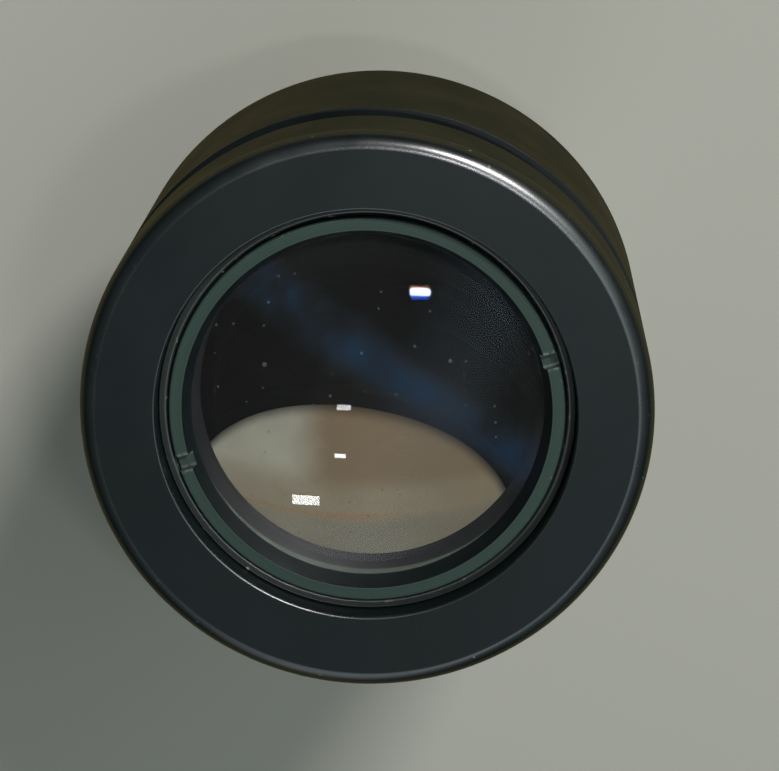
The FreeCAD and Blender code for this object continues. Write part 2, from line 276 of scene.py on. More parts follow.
def supported(points, normals, wear, threads):
    """The same outline with rows beside the ends of its long straights, and along its threads.

    A thread is (radius, lowest height, highest height, pitch), and its rows are a pitch divided
    by the number of rows per pitch apart.
    """
    made = []
    for i in range(len(points)):
        here, beyond = points[i], points[(i + 1) % len(points)]
        made.append((*here, *normals[i], wear[i]))
        length = np.linalg.norm(beyond - here)
        if length < 4 * SUPPORT or normals[i] @ normals[(i + 1) % len(points)] < 0.9999:
            continue
        shares = {SUPPORT / length, 1 - SUPPORT / length}
        upright = abs(beyond[0] - here[0]) < 1e-6
        for radius, low, high, pitch in threads:
            if upright and abs(here[0] - radius) < 1e-3:
                heights = np.arange(low, high, pitch / ROWS_PER_PITCH)
                inside = (heights - here[1]) / (beyond[1] - here[1])
                shares |= set(inside[(inside > SUPPORT / length) & (inside < 1 - SUPPORT / length)])
        for share in sorted(shares):
            made.append((*(here + share * (beyond - here)), *normals[i], 0.0))
    made = np.array(made)
    return made[:, :2], made[:, 2:4], made[:, 4]


def wave(phase):
    """A triangular wave that goes from 0 up to 1 and back once as the phase grows by 1."""
    return np.abs(2 * (phase - np.floor(phase)) - 1)


def revolve(name, points, normals, wear, threads=(), columns=COLUMNS, closed=True, bands=None):
    """A surface of revolution: x = r cos u, y = r sin u, z = h, for each outline point (r, h).

    A thread takes its depth times the wave of height / pitch - u / full turn off the wall, so that
    its crest is a helix. Rows on the axis shrink to one vertex each. Bands name the material
    of each row of faces.
    """
    angle = np.arange(columns) * FULL_TURN / columns
    radius = np.repeat(points[:, :1], columns, axis=1)
    height = np.repeat(points[:, 1:], columns, axis=1)
    for wall, low, high, pitch in threads:
        row = (np.abs(points[:, 0] - wall) < 1e-3) & (np.abs(normals[:, 0]) > 0.99)
        fade = np.clip(np.minimum(points[:, 1] - low, high - points[:, 1]) / pitch, 0, 1) * row
        cut = wave(height / pitch - angle[None, :] / FULL_TURN) * fade[:, None]
        radius = radius - np.sign(normals[:, :1]) * cut * pitch * THREAD_SHARE
    grid = np.stack([radius * np.cos(angle), radius * np.sin(angle), height], axis=-1) * MM
    rows = len(points)
    index = np.arange(rows * columns).reshape(rows, columns)
    along = index if closed else index[:-1]
    beyond = np.roll(index, -1, axis=0) if closed else index[1:]
    faces = np.stack([along, np.roll(along, -1, 1), np.roll(beyond, -1, 1), beyond], axis=-1)
    row_of_face = np.repeat(np.arange(len(along)), columns)
    faces = faces.reshape(-1, 4)
    vertices = grid.reshape(-1, 3)
    worn = np.repeat(wear, columns)
    mesh = bpy.data.meshes.new(name)
    if not closed:
        faces, row_of_face, vertices, worn = with_poles(faces, row_of_face, vertices, worn, rows, columns)
    mesh.from_pydata(vertices.tolist(), [], faces if isinstance(faces, list) else faces.tolist())
    attribute = mesh.attributes.new("wear", "FLOAT", "POINT")
    attribute.data.foreach_set("value", worn.astype(np.float32))
    if bands is not None:
        mesh.polygons.foreach_set("material_index", np.asarray(bands)[row_of_face].astype(np.int32))
    mesh.polygons.foreach_set("use_smooth", np.ones(len(mesh.polygons), bool))
    mesh.update()
    piece = bpy.data.objects.new(name, mesh)
    bpy.context.scene.collection.objects.link(piece)
    return piece


def with_poles(faces, row_of_face, vertices, worn, rows, columns):
    """The same grid with its first and last rows, which lie on the axis, shrunk to one vertex each."""
    keep = np.arange(columns, (rows - 1) * columns)
    renumber = np.zeros(rows * columns, int)
    renumber[keep] = np.arange(len(keep)) + 1
    renumber[(rows - 1) * columns:] = len(keep) + 1
    faces = renumber[faces]
    made = []
    for face in faces.tolist():
        made.append([v for k, v in enumerate(face) if v not in face[:k]])
    ends = vertices[[0]], vertices[[(rows - 1) * columns]]
    vertices = np.concatenate([ends[0], vertices[keep], ends[1]])
    worn = np.concatenate([worn[:1], worn[keep], worn[-1:]])
    return made, row_of_face, vertices, worn


def turned(name, corners, threads=(), inside=None, columns=COLUMNS):
    """A closed ring or sleeve turned from rounded corners.

    Rows take the second material where a rule named inside, given radius, height and the normal's
    two parts, says so.
    """
    points, normals, wear = supported(*rounded(corners), threads)
    bands = None if inside is None else inside(*points.T, *normals.T).astype(int)
    return revolve(name, points, normals, wear, threads, columns, bands=bands)


def block(name, low, high, angle=0.0):
    """A box between two corners in millimetres, turned about the axis."""
    x, y, z = (np.array(pair) for pair in zip(low, high))
    corner = np.array([(x[i], y[j], z[k]) for k in (0, 1) for j in (0, 1) for i in (0, 1)]) * MM
    spin = np.array([[math.cos(angle), -math.sin(angle)], [math.sin(angle), math.cos(angle)]])
    corner[:, :2] = corner[:, :2] @ spin.T
    sides = [(0, 2, 3, 1), (4, 5, 7, 6), (0, 1, 5, 4), (2, 6, 7, 3), (0, 4, 6, 2), (1, 3, 7, 5)]
    mesh = bpy.data.meshes.new(name)
    mesh.from_pydata(corner.tolist(), [], sides)
    made = bpy.data.objects.new(name, mesh)
    bpy.context.scene.collection.objects.link(made)
    return made


def aim(piece, angle, height):
    """Lays a piece that was turned about Z on its side, so that it points out from the axis."""
    turn = Matrix.Rotation(angle, 4, "Z") @ Matrix.Rotation(math.pi / 2, 4, "Y")
    piece.data.transform(Matrix.Translation((0, 0, height * MM)) @ turn)
    return piece


def cut(piece, *cutters):
    """The piece with the cutters taken out of it."""
    for cutter in cutters:
        step = piece.modifiers.new("cut", "BOOLEAN")
        step.operation = "DIFFERENCE"
        step.solver = "EXACT"
        step.object = cutter
    bpy.context.view_layer.update()
    made = bpy.data.meshes.new_from_object(piece.evaluated_get(bpy.context.evaluated_depsgraph_get()))
    piece.modifiers.clear()
    made.name = piece.data.name
    old, piece.data = piece.data, made
    bpy.data.meshes.remove(old)
    for cutter in cutters:
        bpy.data.objects.remove(cutter)
    return piece


def slotted(piece, inner, outer, low, high):
    """A ring with two opposite straight slots for a pin wrench."""
    cutters = []
    for turn in (SLOT_ANGLE, SLOT_ANGLE + math.pi):
        half = SLOT_WIDTH / 2
        cutters.append(block("cutter", (inner, -half, low), (outer, half, high), turn))
    return cut(piece, *cutters)


# Finishes

def fill(tree, socket, value):
    """Joins a socket to another node's output, or sets it to a number or a colour."""
    if isinstance(value, bpy.types.NodeSocket):
        tree.links.new(value, socket)
    else:
        socket.default_value = linear(value) if isinstance(value, str) else value


def add(tree, kind, links=(), **values):
    """Adds a node, sets its properties, and fills its sockets by name or by number."""
    node = tree.nodes.new("ShaderNode" + kind)
    for key, value in values.items():
        if hasattr(node, key):
            setattr(node, key, value)
        else:
            fill(tree, node.inputs[key.replace("_", " ")], value)
    for key, value in dict(links).items():
        fill(tree, node.inputs[key], value)
    return node


def shade(name):
    """A colour of the finishes, in linear light."""
    return linear(getattr(bpy.context.scene.eyepiece_finish, name))


def blank(name):
    """A material with an empty tree, the tree, and the socket that its shader goes to."""
    made = bpy.data.materials.new(name)
    made.use_nodes = True
    made.node_tree.nodes.clear()
    return made, made.node_tree, add(made.node_tree, "OutputMaterial").inputs["Surface"]


def in_mm(tree):
    """The piece's own coordinates, in millimetres."""
    place = add(tree, "TexCoord").outputs["Object"]
    return add(tree, "VectorMath", {0: place}, operation="SCALE", Scale=1 / MM).outputs[0]


def maths(tree, operation, *sides, clamp=False):
    """One sum: each side is another node's output or a number."""
    return add(tree, "Math", dict(enumerate(sides)), operation=operation, use_clamp=clamp).outputs[0]


def ramp(tree, value, start, end, low=0.0, high=1.0, smooth=True):
    """A value that goes from low to high while its input goes from start to end."""
    ends = {"Value": value, "From Min": start, "From Max": end, "To Min": low, "To Max": high}
    return add(tree, "MapRange", ends, interpolation_type="SMOOTHSTEP" if smooth else "LINEAR").outputs[0]


def mixed(tree, share, first, second):
    """A colour between two, each another node's output or a colour."""
    node = add(tree, "Mix", {"Factor": share}, data_type="RGBA")
    for key, value in (("A", first), ("B", second)):
        fill(tree, next(s for s in node.inputs if s.name == key and s.type == "RGBA"), value)
    return next(s for s in node.outputs if s.type == "RGBA")


def noise(tree, place, size, detail=3.0, rough=0.55, stretch=None):
    """Noise whose features are about size millimetres across, stretched along the axes if asked."""
    if stretch is not None:
        place = add(tree, "VectorMath", {0: place, 1: stretch}, operation="MULTIPLY").outputs[0]
    node = add(tree, "TexNoise", Vector=place, Scale=1 / size, Detail=detail, Roughness=rough)
    return node.outputs["Fac"]


def around(tree, place):
    """Distance from the optical axis, and height, each an output."""
    x, y, z = add(tree, "SeparateXYZ", {0: place}).outputs
    squares = maths(tree, "ADD", maths(tree, "MULTIPLY", x, x), maths(tree, "MULTIPLY", y, y))
    return maths(tree, "SQRT", squares), z


def specks(tree, place, spacing, size, share, space="3D"):
    """Dust: a mask of small dots, one to a cell of the given spacing, in a share of the cells."""
    cells = add(
        tree, "TexVoronoi", Vector=place, voronoi_dimensions=space, Scale=1 / spacing, Randomness=1.0,
    )
    parts = add(tree, "SeparateColor", {0: cells.outputs["Color"]}).outputs
    reach = maths(tree, "MULTIPLY", parts[1], size / spacing)
    dots = maths(tree, "LESS_THAN", cells.outputs["Distance"], reach)
    return maths(tree, "MULTIPLY", dots, maths(tree, "LESS_THAN", parts[0], share))


def dusted(tree, place, colour, dust, spacing, size, share, cover=0.6):
    """A colour with specks of dust over it."""
    dots = specks(tree, place, spacing, size, share)
    return mixed(tree, maths(tree, "MULTIPLY", dots, cover), colour, dust)


def turned_rings(tree, place, pitch, strength, depth=0.02):
    """Fine lathe marks: noise of the distance from the axis and the height alone, and its normal."""
    radius, height = around(tree, place)
    joined = add(tree, "CombineXYZ", {0: radius, 2: height}).outputs[0]
    marks = add(tree, "TexNoise", Vector=joined, Scale=1 / pitch, Detail=2.0).outputs["Fac"]
    normal = add(tree, "Bump", Height=marks, Strength=strength, Distance=depth * MM).outputs[0]
    return normal, marks


def worn(tree, place, grain, least):
    """How far an outer edge is rubbed, broken up by noise of the grain.

    The wear attribute is 1 on outer edges that hands and tools rub.
    """
    edge = add(tree, "Attribute", attribute_name="wear").outputs["Fac"]
    patchy = ramp(tree, noise(tree, place, grain, 4.0, 0.7), least, least + 0.12)
    return maths(tree, "MULTIPLY", edge, patchy)


def black_anodised():
    """Aluminium, fine blasted and dyed black: a satin skin with a faint blue-green cast.

    The blasting leaves pits of about 0.05 mm, drawn at 0.12 mm so that they show. Handling has
    polished it in patches, and the bare metal shows as pale flecks on the rubbed edges, which
    are glossier.
    """
    made, tree, output = blank("black anodised aluminium, blasted")
    place = in_mm(tree)
    edge = add(tree, "Attribute", attribute_name="wear").outputs["Fac"]
    colour = mixed(tree, ramp(tree, noise(tree, place, 9.0), 0.3, 0.7), shade("anodised"), "121C1E")
    colour = mixed(tree, worn(tree, place, 0.5, 0.66), colour, "8C938E")
    gloss = ramp(tree, noise(tree, place, 5.0, 4.0), 0.25, 0.75, 0.36, 0.46)
    pits = add(tree, "Bump", Height=noise(tree, place, 0.12, 2.0, 0.7), Strength=0.35, Distance=0.012 * MM)
    skin = add(
        tree, "BsdfPrincipled", IOR=1.76,
        Base_Color=dusted(tree, place, colour, "9A9C94", 2.4, 0.11, 0.08),
        Roughness=maths(tree, "SUBTRACT", gloss, maths(tree, "MULTIPLY", edge, 0.13)),
        Specular_IOR_Level=ramp(tree, edge, 0.0, 1.0, 0.21, 1.0, smooth=False),
        Normal=pits.outputs[0],
    )
    fill(tree, output, skin.outputs[0])
    return made


def grey_anodised():
    """Aluminium, finely turned and anodised grey: matt, with lathe marks 0.06 mm apart.

    The sides of the wrench slots are scraped to bright metal.
    """
    made, tree, output = blank("grey anodised aluminium, turned")
    place = in_mm(tree)
    normal, marks = turned_rings(tree, place, 0.06, 0.5)
    colour = mixed(tree, ramp(tree, marks, 0.35, 0.65), shade("grey"), "344A41")
    turn = add(tree, "VectorRotate", {0: place}, rotation_type="Z_AXIS", Angle=-SLOT_ANGLE).outputs[0]
    across = maths(tree, "ABSOLUTE", add(tree, "SeparateXYZ", {0: turn}).outputs[1])
    beside = maths(tree, "ABSOLUTE", maths(tree, "SUBTRACT", across, SLOT_WIDTH / 2))
    patchy = ramp(tree, noise(tree, place, 0.3), 0.35, 0.55)
    scraped = maths(tree, "MULTIPLY", ramp(tree, beside, 0.08, 0.24, 1.0, 0.0), patchy)
    rubbed = maths(tree, "MAXIMUM", scraped, worn(tree, place, 0.4, 0.58))
    colour = mixed(tree, rubbed, colour, "848B84")
    colour = dusted(tree, place, colour, "A9ABA2", 1.8, 0.14, 0.12)
    skin = add(
        tree, "BsdfPrincipled", Roughness=0.5, IOR=1.5, Base_Color=colour, Metallic=rubbed, Normal=normal,
    )
    fill(tree, output, skin.outputs[0])
    return made


def blackened_brass():
    """Brass, turned and chemically blackened: nearly matt, and pale where it is rubbed."""
    made, tree, output = blank("blackened brass, turned")
    place = in_mm(tree)
    normal, marks = turned_rings(tree, place, 0.12, 0.9, 0.05)
    colour = mixed(tree, ramp(tree, marks, 0.3, 0.7), shade("brass"), "272E2C")
    colour = mixed(tree, worn(tree, place, 0.6, 0.6), colour, "A9AA9C")
    edge = add(tree, "Attribute", attribute_name="wear").outputs["Fac"]
    gloss = ramp(tree, edge, 0.0, 1.0, 0.25, 1.0, smooth=False)
    colour = dusted(tree, place, colour, "B0B0A6", 1.6, 0.15, 0.12, 0.7)
    skin = add(
        tree, "BsdfPrincipled", Roughness=0.34, IOR=1.76, Base_Color=colour, Specular_IOR_Level=gloss,
        Normal=normal,
    )
    fill(tree, output, skin.outputs[0])
    return made


def slate_black():
    """Blackened brass where a lens seats on it: turned smooth, so that it shows slate grey.

    The lens has rubbed a paler ring on the outer half of the seat.
    """
    made, tree, output = blank("blackened brass, turned smooth")
    place = in_mm(tree)
    normal, marks = turned_rings(tree, place, 0.07, 0.4)
    radius, _ = around(tree, place)
    seat = mixed(tree, ramp(tree, radius, 11.9, 12.0), mixed(tree, marks, "05070A", "080B0F"), "363F38")
    skin = add(
        tree, "BsdfPrincipled", Roughness=0.5, IOR=1.5, Specular_IOR_Level=0.2, Base_Color=seat,
        Normal=normal,
    )
    fill(tree, output, skin.outputs[0])
    return made


def matt_black():
    """Optical black paint, sprayed: it soaks up stray light, with a grain of about 0.1 mm."""
    made, tree, output = blank("optical black paint, sprayed")
    grain = noise(tree, in_mm(tree), 0.1, 2.0, 0.7)
    normal = add(tree, "Bump", Height=grain, Strength=0.35, Distance=0.02 * MM).outputs[0]
    skin = add(
        tree, "BsdfPrincipled", Roughness=0.6, IOR=1.45, Specular_IOR_Level=0.1,
        Base_Color=mixed(tree, grain, "050608", "0A0C0F"), Normal=normal,
    )
    fill(tree, output, skin.outputs[0])
    return made


def satin_chrome():
    """Brass with satin chrome plate: ground lines round the tube, and light scuffs from sliding."""
    made, tree, output = blank("satin chrome plate, ground")
    place = in_mm(tree)
    normal, marks = turned_rings(tree, place, 0.05, 0.35)
    scuffs = ramp(tree, noise(tree, place, 0.5, 4.0, 0.6, stretch=(2.0, 2.0, 0.08)), 0.45, 0.75, 0.22, 0.38)
    skin = add(
        tree, "BsdfPrincipled", Metallic=1.0, Normal=normal,
        Base_Color=mixed(tree, ramp(tree, noise(tree, place, 6.0), 0.3, 0.7), "BDBFC0", "AFB2B4"),
        Roughness=maths(tree, "ADD", scuffs, maths(tree, "MULTIPLY", marks, 0.05)),
    )
    fill(tree, output, skin.outputs[0])
    return made


def black_steel():
    """Steel screws with black oxide: dark, slightly oily, and bright where a driver slipped."""
    made, tree, output = blank("black oxide steel, machined")
    place = in_mm(tree)
    normal = add(tree, "Bump", Height=noise(tree, place, 0.08, 2.0), Strength=0.3, Distance=0.01 * MM)
    colour = mixed(tree, worn(tree, place, 0.3, 0.5), "17181A", "8E8E8C")
    skin = add(
        tree, "BsdfPrincipled", Roughness=0.35, IOR=1.6, Base_Color=colour, Normal=normal.outputs[0],
    )
    fill(tree, output, skin.outputs[0])
    return made


def film_and_painted_sheen(tree, place):
    """A band across the eye lens: a thin cloudy film that a cloth left, which also carries a painted blue
    sheen.
    """
    x, y, _ = add(tree, "SeparateXYZ", {0: place}).outputs
    aside = maths(tree, "ADD", maths(tree, "MULTIPLY", x, 0.574), maths(tree, "MULTIPLY", y, 0.819))
    wavy = maths(tree, "MULTIPLY_ADD", noise(tree, place, 5.0, 2.0), 1.6, 2.3)
    band = ramp(tree, maths(tree, "ABSOLUTE", maths(tree, "ADD", aside, wavy)), 0.2, 2.5, 1.0, 0.0)
    cloud = ramp(tree, noise(tree, place, 3.5, 5.0, 0.6), 0.3, 0.75, 0.25, 1.0)
    return maths(tree, "MULTIPLY", band, cloud)


def clear_to_lamps(tree, output, surface):
    """Gives a material a shader that the light of lamps passes through."""
    clear = add(tree, "BsdfTransparent").outputs[0]
    shadow = add(tree, "LightPath").outputs["Is Shadow Ray"]
    fill(tree, output, add(tree, "MixShader", {0: shadow, 1: surface, 2: clear}).outputs[0])


def glass(name, index, dusty=False):
    """Optical glass, polished and coated: the coating cuts the reflection and turns it blue.

    Lamps shine through it into the tube. The eye side carries dust of up to 0.16 mm and a film that a cloth
    left. It also carries a painted sheen: a faint diffuse layer over the whole face, blue in the film's
    band, in place of the coating's reflection.
    """
    made, tree, output = blank(name)
    mirror = add(tree, "BsdfGlossy", Roughness=0.0).outputs[0]
    coated = add(
        tree, "BsdfPrincipled", Roughness=0.0, IOR=index, Transmission_Weight=1.0, Base_Color="FFFFFF",
        Specular_Tint=shade("coating"),
    )
    parts = {0: 0.01 if dusty else 0.12, 1: coated.outputs[0], 2: mirror}
    top = add(tree, "MixShader", parts).outputs[0]
    if dusty:
        place = in_mm(tree)
        film = film_and_painted_sheen(tree, place)
        fine, coarse = specks(tree, place, 1.1, 0.1, 0.3, "2D"), specks(tree, place, 3.1, 0.16, 0.3, "2D")
        dots = maths(tree, "ADD", fine, coarse)
        # Painted sheen: a faint diffuse layer everywhere, stronger in the film's band.
        film_and_sheen_share = maths(tree, "MULTIPLY_ADD", film, 0.12, 0.04)
        share = maths(tree, "ADD", maths(tree, "MULTIPLY", dots, 0.3), film_and_sheen_share, clamp=True)
        # Grey where it is dust, blue in the band, where it is a painted reflection of the coating.
        dust_and_painted_sheen = add(tree, "BsdfDiffuse", Color=mixed(tree, film, "85867E", "4A80B4")).outputs[0]
        top = add(tree, "MixShader", {0: share, 1: top, 2: dust_and_painted_sheen}).outputs[0]
    clear_to_lamps(tree, output, top)
    return made


def cement(index):
    """Optical cement between two glasses: it bends light by their ratio, and reflects next to nothing."""
    made, tree, output = blank("optical cement, cured")
    bent = add(
        tree, "BsdfPrincipled", Roughness=0.0, IOR=index, Transmission_Weight=1.0, Base_Color="FFFFFF",
    )
    clear_to_lamps(tree, output, bent.outputs[0])
    return made


def joined_face():
    """The side of a glass that the cement wets: it neither bends nor reflects by itself."""
    made, tree, output = blank("cemented glass face, polished")
    fill(tree, output, add(tree, "BsdfTransparent").outputs[0])
    return made


def ground_edge():
    """The edge of a lens, fine ground and blackened: matt."""
    made, tree, output = blank("optical glass edge, fine ground")
    grain = noise(tree, in_mm(tree), 0.08, 2.0, 0.7)
    colour = mixed(tree, grain, "15181A", "22272A")
    skin = add(tree, "BsdfPrincipled", Roughness=0.7, IOR=1.5, Base_Color=colour)
    fill(tree, output, skin.outputs[0])
    return made


_finishes = {}


def finish(maker, *values, **named):
    """The material that a function makes, made once."""
    key = (maker.__name__, values, tuple(sorted(named.items())))
    if key not in _finishes:
        _finishes[key] = maker(*values, **named)
    return _finishes[key]


def dress(piece, node, slot, *materials):
    """Gives a piece its materials and sharp edges, and has it stand for a node of the frame."""
    for material in materials:
        piece.data.materials.append(material)
    piece.data.set_sharp_from_angle(angle=SMOOTH_BELOW)
    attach(piece, "root")
    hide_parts(node)


# Head

def make_bezel():
    """The ring round the eye lens, with its groove, its threaded skirt and three screw holes."""
    head, *_ = settings()
    rim_foot = TOP - head.rim
    skirt_thread = (head.skirt, SKIRT_END + 0.3, SHELL_TOP - 0.3, COARSE_PITCH)
    ring = turned("bezel", [
        (head.opening, TOP, 0.15), (HEAD_R, TOP, head.rim_round), (HEAD_R, rim_foot, WORN_EDGE),
        (head.groove, rim_foot), (head.groove, SHELL_TOP), (head.skirt, SHELL_TOP),
        (head.skirt, SKIRT_END), (head.opening, SKIRT_END),
    ], [skirt_thread], inside=lambda r, h, out, up: (out < INWARD) & (h < CELL_TOP) | (h < SKIRT_END + 1.0))
    holes = []
    for number in (1, 2, 3):
        radius, angle, height, inner, outer = screw_place(f"cell_screw_{number}")
        holes.append(pin("hole", radius + GAP, inner - 1.0, outer + 1.0, angle, height))
    cut(ring, *holes)
    dress(ring, "eye_bezel", "black_anodised", finish(black_anodised), finish(matt_black))


def make_shell():
    """The plain cylinder behind the groove, threaded inside at both ends."""
    head, tube, *_ = settings()
    skirt_bore, tube_bore, flange_bore = head.skirt + GAP, tube.spigot + GAP, FLANGE_R + 2 * GAP
    thread_foot = SKIRT_END - head.shell_relief
    seat = HEAD_BACK + head.recess
    threads = [
        (skirt_bore, thread_foot + 0.3, SHELL_TOP - 0.3, COARSE_PITCH),
        (tube_bore, seat + 0.2, CELL_END - 0.2, COARSE_PITCH),
    ]
    shell = turned("shell", [
        (skirt_bore, SHELL_TOP), (HEAD_R, SHELL_TOP, 0.03),
        (HEAD_R, HEAD_BACK, head.back_round), (TUBE_FLANGE_R + 2 * GAP, HEAD_BACK),
        (TUBE_FLANGE_R + 2 * GAP, seat), (tube_bore, seat), (tube_bore, CELL_END),
        (flange_bore, CELL_END), (flange_bore, thread_foot), (skirt_bore, thread_foot),
    ], threads, inside=lambda r, h, out, up: out < INWARD)
    radius, angle, height, inner, outer = screw_place("tube_lock_screw")
    cut(shell, pin("hole", radius + GAP, inner - 0.5, outer + 1.0, angle, height))
    dress(shell, "head_shell", "black_anodised", finish(black_anodised), finish(matt_black))


# Tube

def make_tube():
    """The chromed tube that slides into the microscope, with its flange and its threaded spigot.

    It is black inside.
    """
    head, tube, *_ = settings()
    flange_top = HEAD_BACK + head.recess
    floor = HEAD_BACK + tube.floor
    relief_top, root_end = HEAD_BACK + tube.relief_depth, HEAD_BACK - tube.root_length
    threads = [
        (tube.spigot, flange_top + 0.2, TUBE_TOP - 0.4, COARSE_PITCH),
        (tube.bore, CARRIER_END - 4.0, floor - 1.5, FINE_PITCH),
    ]
    sleeve = turned("tube", [
        (tube.spigot_bore, TUBE_TOP), (tube.spigot, TUBE_TOP, WORN_EDGE),
        (tube.spigot, flange_top), (TUBE_FLANGE_R, flange_top),
        (TUBE_FLANGE_R, HEAD_BACK, WORN_EDGE), (tube.outside + tube.relief, HEAD_BACK),
        (tube.outside + tube.relief, relief_top), (tube.outside - tube.root, relief_top),
        (tube.outside - tube.root, root_end, 0.02), (tube.outside, root_end, 0.05),
        (tube.outside, tube.lead, WORN_EDGE), (tube.outside - tube.lead, 0.0),
        (tube.bore, 0.0, WORN_EDGE), (tube.bore, floor), (tube.spigot_bore, floor),
    ], threads, lambda r, h, out, up: (out < INWARD) | (up > UPWARD) & (r < tube.spigot_bore + 0.1),
        TUBE_COLUMNS)
    dress(sleeve, "insertion_tube", "bright_chrome", finish(satin_chrome), finish(matt_black))


# Glasses

def spherical(vertex, curve, radius, rows):
    """Points and normals of a spherical surface from the axis out to a radius.

    The height is the vertex's less the sag, R - sqrt(R² - r²), with the sign of the curve. The
    normal leans out by r / R.
    """
    r = radius * np.linspace(0.0, 1.0, rows)
    sag = abs(curve) - np.sqrt(curve ** 2 - r ** 2)
    lean = r / curve
    points = np.stack([r, vertex - math.copysign(1.0, curve) * sag], 1)
    return points, np.stack([lean, np.sqrt(1 - lean ** 2)], 1)


def lens(name, front, back, radius, bevel, rows=72):
    """A glass between two spherical surfaces: bands 0 front, 1 ground edge and 2 back."""
    top, top_normal = spherical(*front, radius - bevel, rows)
    foot, foot_normal = spherical(*back, radius - bevel, rows)
    drop = bevel * 0.6
    edge = np.array([(radius, top[-1, 1] - drop), (radius, foot[-1, 1] + drop)])
    points = np.concatenate([foot, edge[::-1], top[::-1]])
    normals = np.concatenate([-foot_normal, [(1.0, 0.0), (1.0, 0.0)], top_normal[::-1]])
    bands = [2] * (rows - 1) + [1] * 3 + [0] * (rows - 1)
    return revolve(name, points, normals, np.zeros(len(points)), closed=False, bands=bands)


def surfaces():
    """Each optical surface as (height of its vertex, radius of curvature)."""
    _, _, sizes, _ = settings()
    front = TOP - sizes.vertex
    cement_top = front - sizes.flint
    cement_foot = cement_top - sizes.cement
    back = cement_foot - sizes.crown
    field_front = back - sizes.air
    field_back = field_front - sizes.field_glass
    return {
        "front": (front, sizes.front_curve),
        "cement_top": (cement_top, sizes.cement_curve),
        "cement_foot": (cement_foot, sizes.cement_curve),
        "back": (back, -sizes.back_curve),
        "field_front": (field_front, -sizes.field_front),
        "field_back": (field_back, -sizes.field_back),
    }


def surface_height(surface, radius):
    """Height of an optical surface at a distance from the axis."""
    vertex, curve = surface
    return vertex - math.copysign(abs(curve) - math.sqrt(curve ** 2 - radius ** 2), curve)


def make_eye_lens():
    """The cemented eye lens: the flint's back carries the cement, and the crown's front is wetted."""
    _, _, sizes, _ = settings()
    at = surfaces()
    edge = finish(ground_edge)
    flint = lens("flint", at["front"], at["cement_top"], EYE_LENS_R, sizes.bevel)
    dress(
        flint, "eye_lens_flint", "flint_glass",
        finish(glass, "flint glass, polished and coated", sizes.flint_index, dusty=True), edge,
        finish(cement, sizes.flint_index / sizes.crown_index),
    )
    crown = lens("crown", at["cement_foot"], at["back"], EYE_LENS_R, sizes.bevel)
    dress(
        crown, "eye_lens_crown", "crown_glass",
        finish(joined_face), edge, finish(glass, "crown glass, polished and coated", sizes.crown_index),
    )


def make_field_lens():
    """The field lens, nearly flat towards the eye."""
    _, _, sizes, _ = settings()
    at = surfaces()
    coated = finish(glass, "dense crown glass, polished and coated", sizes.field_index)
    made = lens("field_glass", at["field_front"], at["field_back"], FIELD_LENS_R, sizes.bevel)
    dress(made, "field_lens", "crown_glass", coated, finish(ground_edge), coated)


# Mounts of the glasses

def make_retainer():
    """The grey ring in front of the eye lens, with its sloping throat and two wrench slots."""
    *_, mount = settings()
    at = surfaces()
    throat_foot = surface_height(at["front"], mount.throat) + SEAT_GAP
    seat = surface_height(at["front"], EYE_LENS_R) + SEAT_GAP
    ring = turned("retainer", [
        (mount.throat_mouth, RETAINER_TOP, 0.03), (RETAINER_R, RETAINER_TOP, 0.16),
        (RETAINER_R, seat, 0.03), (EYE_LENS_R, seat, 0.03), (mount.throat, throat_foot, 0.03),
        (mount.throat, throat_foot + 0.2, 0.03),
    ], [(RETAINER_R, RETAINER_FOOT + 0.1, RETAINER_TOP - 0.6, FINE_PITCH)],
        inside=lambda r, h, out, up: out < INWARD)
    slotted(ring, mount.throat - 0.5, RETAINER_R + 0.5, RETAINER_TOP - SLOT_DEPTH, RETAINER_TOP + 0.5)
    dress(ring, "eye_lens_retainer", "grey_anodised", finish(grey_anodised), finish(black_anodised))


def make_cell():
    """The barrel that holds the eye lens and the spacer, with the flange that centres it."""
    *_, sizes, mount = settings()
    at = surfaces()
    mouth = RETAINER_R + GAP
    mouth_foot = surface_height(at["front"], EYE_LENS_R) - sizes.bevel
    tail_bore = FIELD_CELL_R + GAP
    flange_top = FIELD_CELL_TOP + mount.flange_length / 2
    flange_foot = flange_top - mount.flange_length
    threads = [
        (mouth, mouth_foot + 0.1, CELL_TOP - 0.4, FINE_PITCH),
        (tail_bore, CELL_END + 0.2, FIELD_CELL_TOP - 0.2, FINE_PITCH),
    ]
    barrel = turned("cell", [
        (mouth, CELL_TOP + CELL_CROWN, 0.28), (mount.cell, CELL_TOP + CELL_CROWN, 0.06),
        (mount.cell, flange_top), (FLANGE_R, flange_top), (FLANGE_R, flange_foot),
        (mount.cell, flange_foot), (mount.cell, CELL_END), (tail_bore, CELL_END),
        (tail_bore, FIELD_CELL_TOP), (mount.lens_bore, FIELD_CELL_TOP),
        (mount.lens_bore, mouth_foot), (mouth, mouth_foot),
    ], threads, inside=lambda r, h, out, up: (out < INWARD) & (h < CELL_TOP - 0.15))
    dress(barrel, "lens_cell", "blackened_brass", finish(blackened_brass), finish(matt_black))


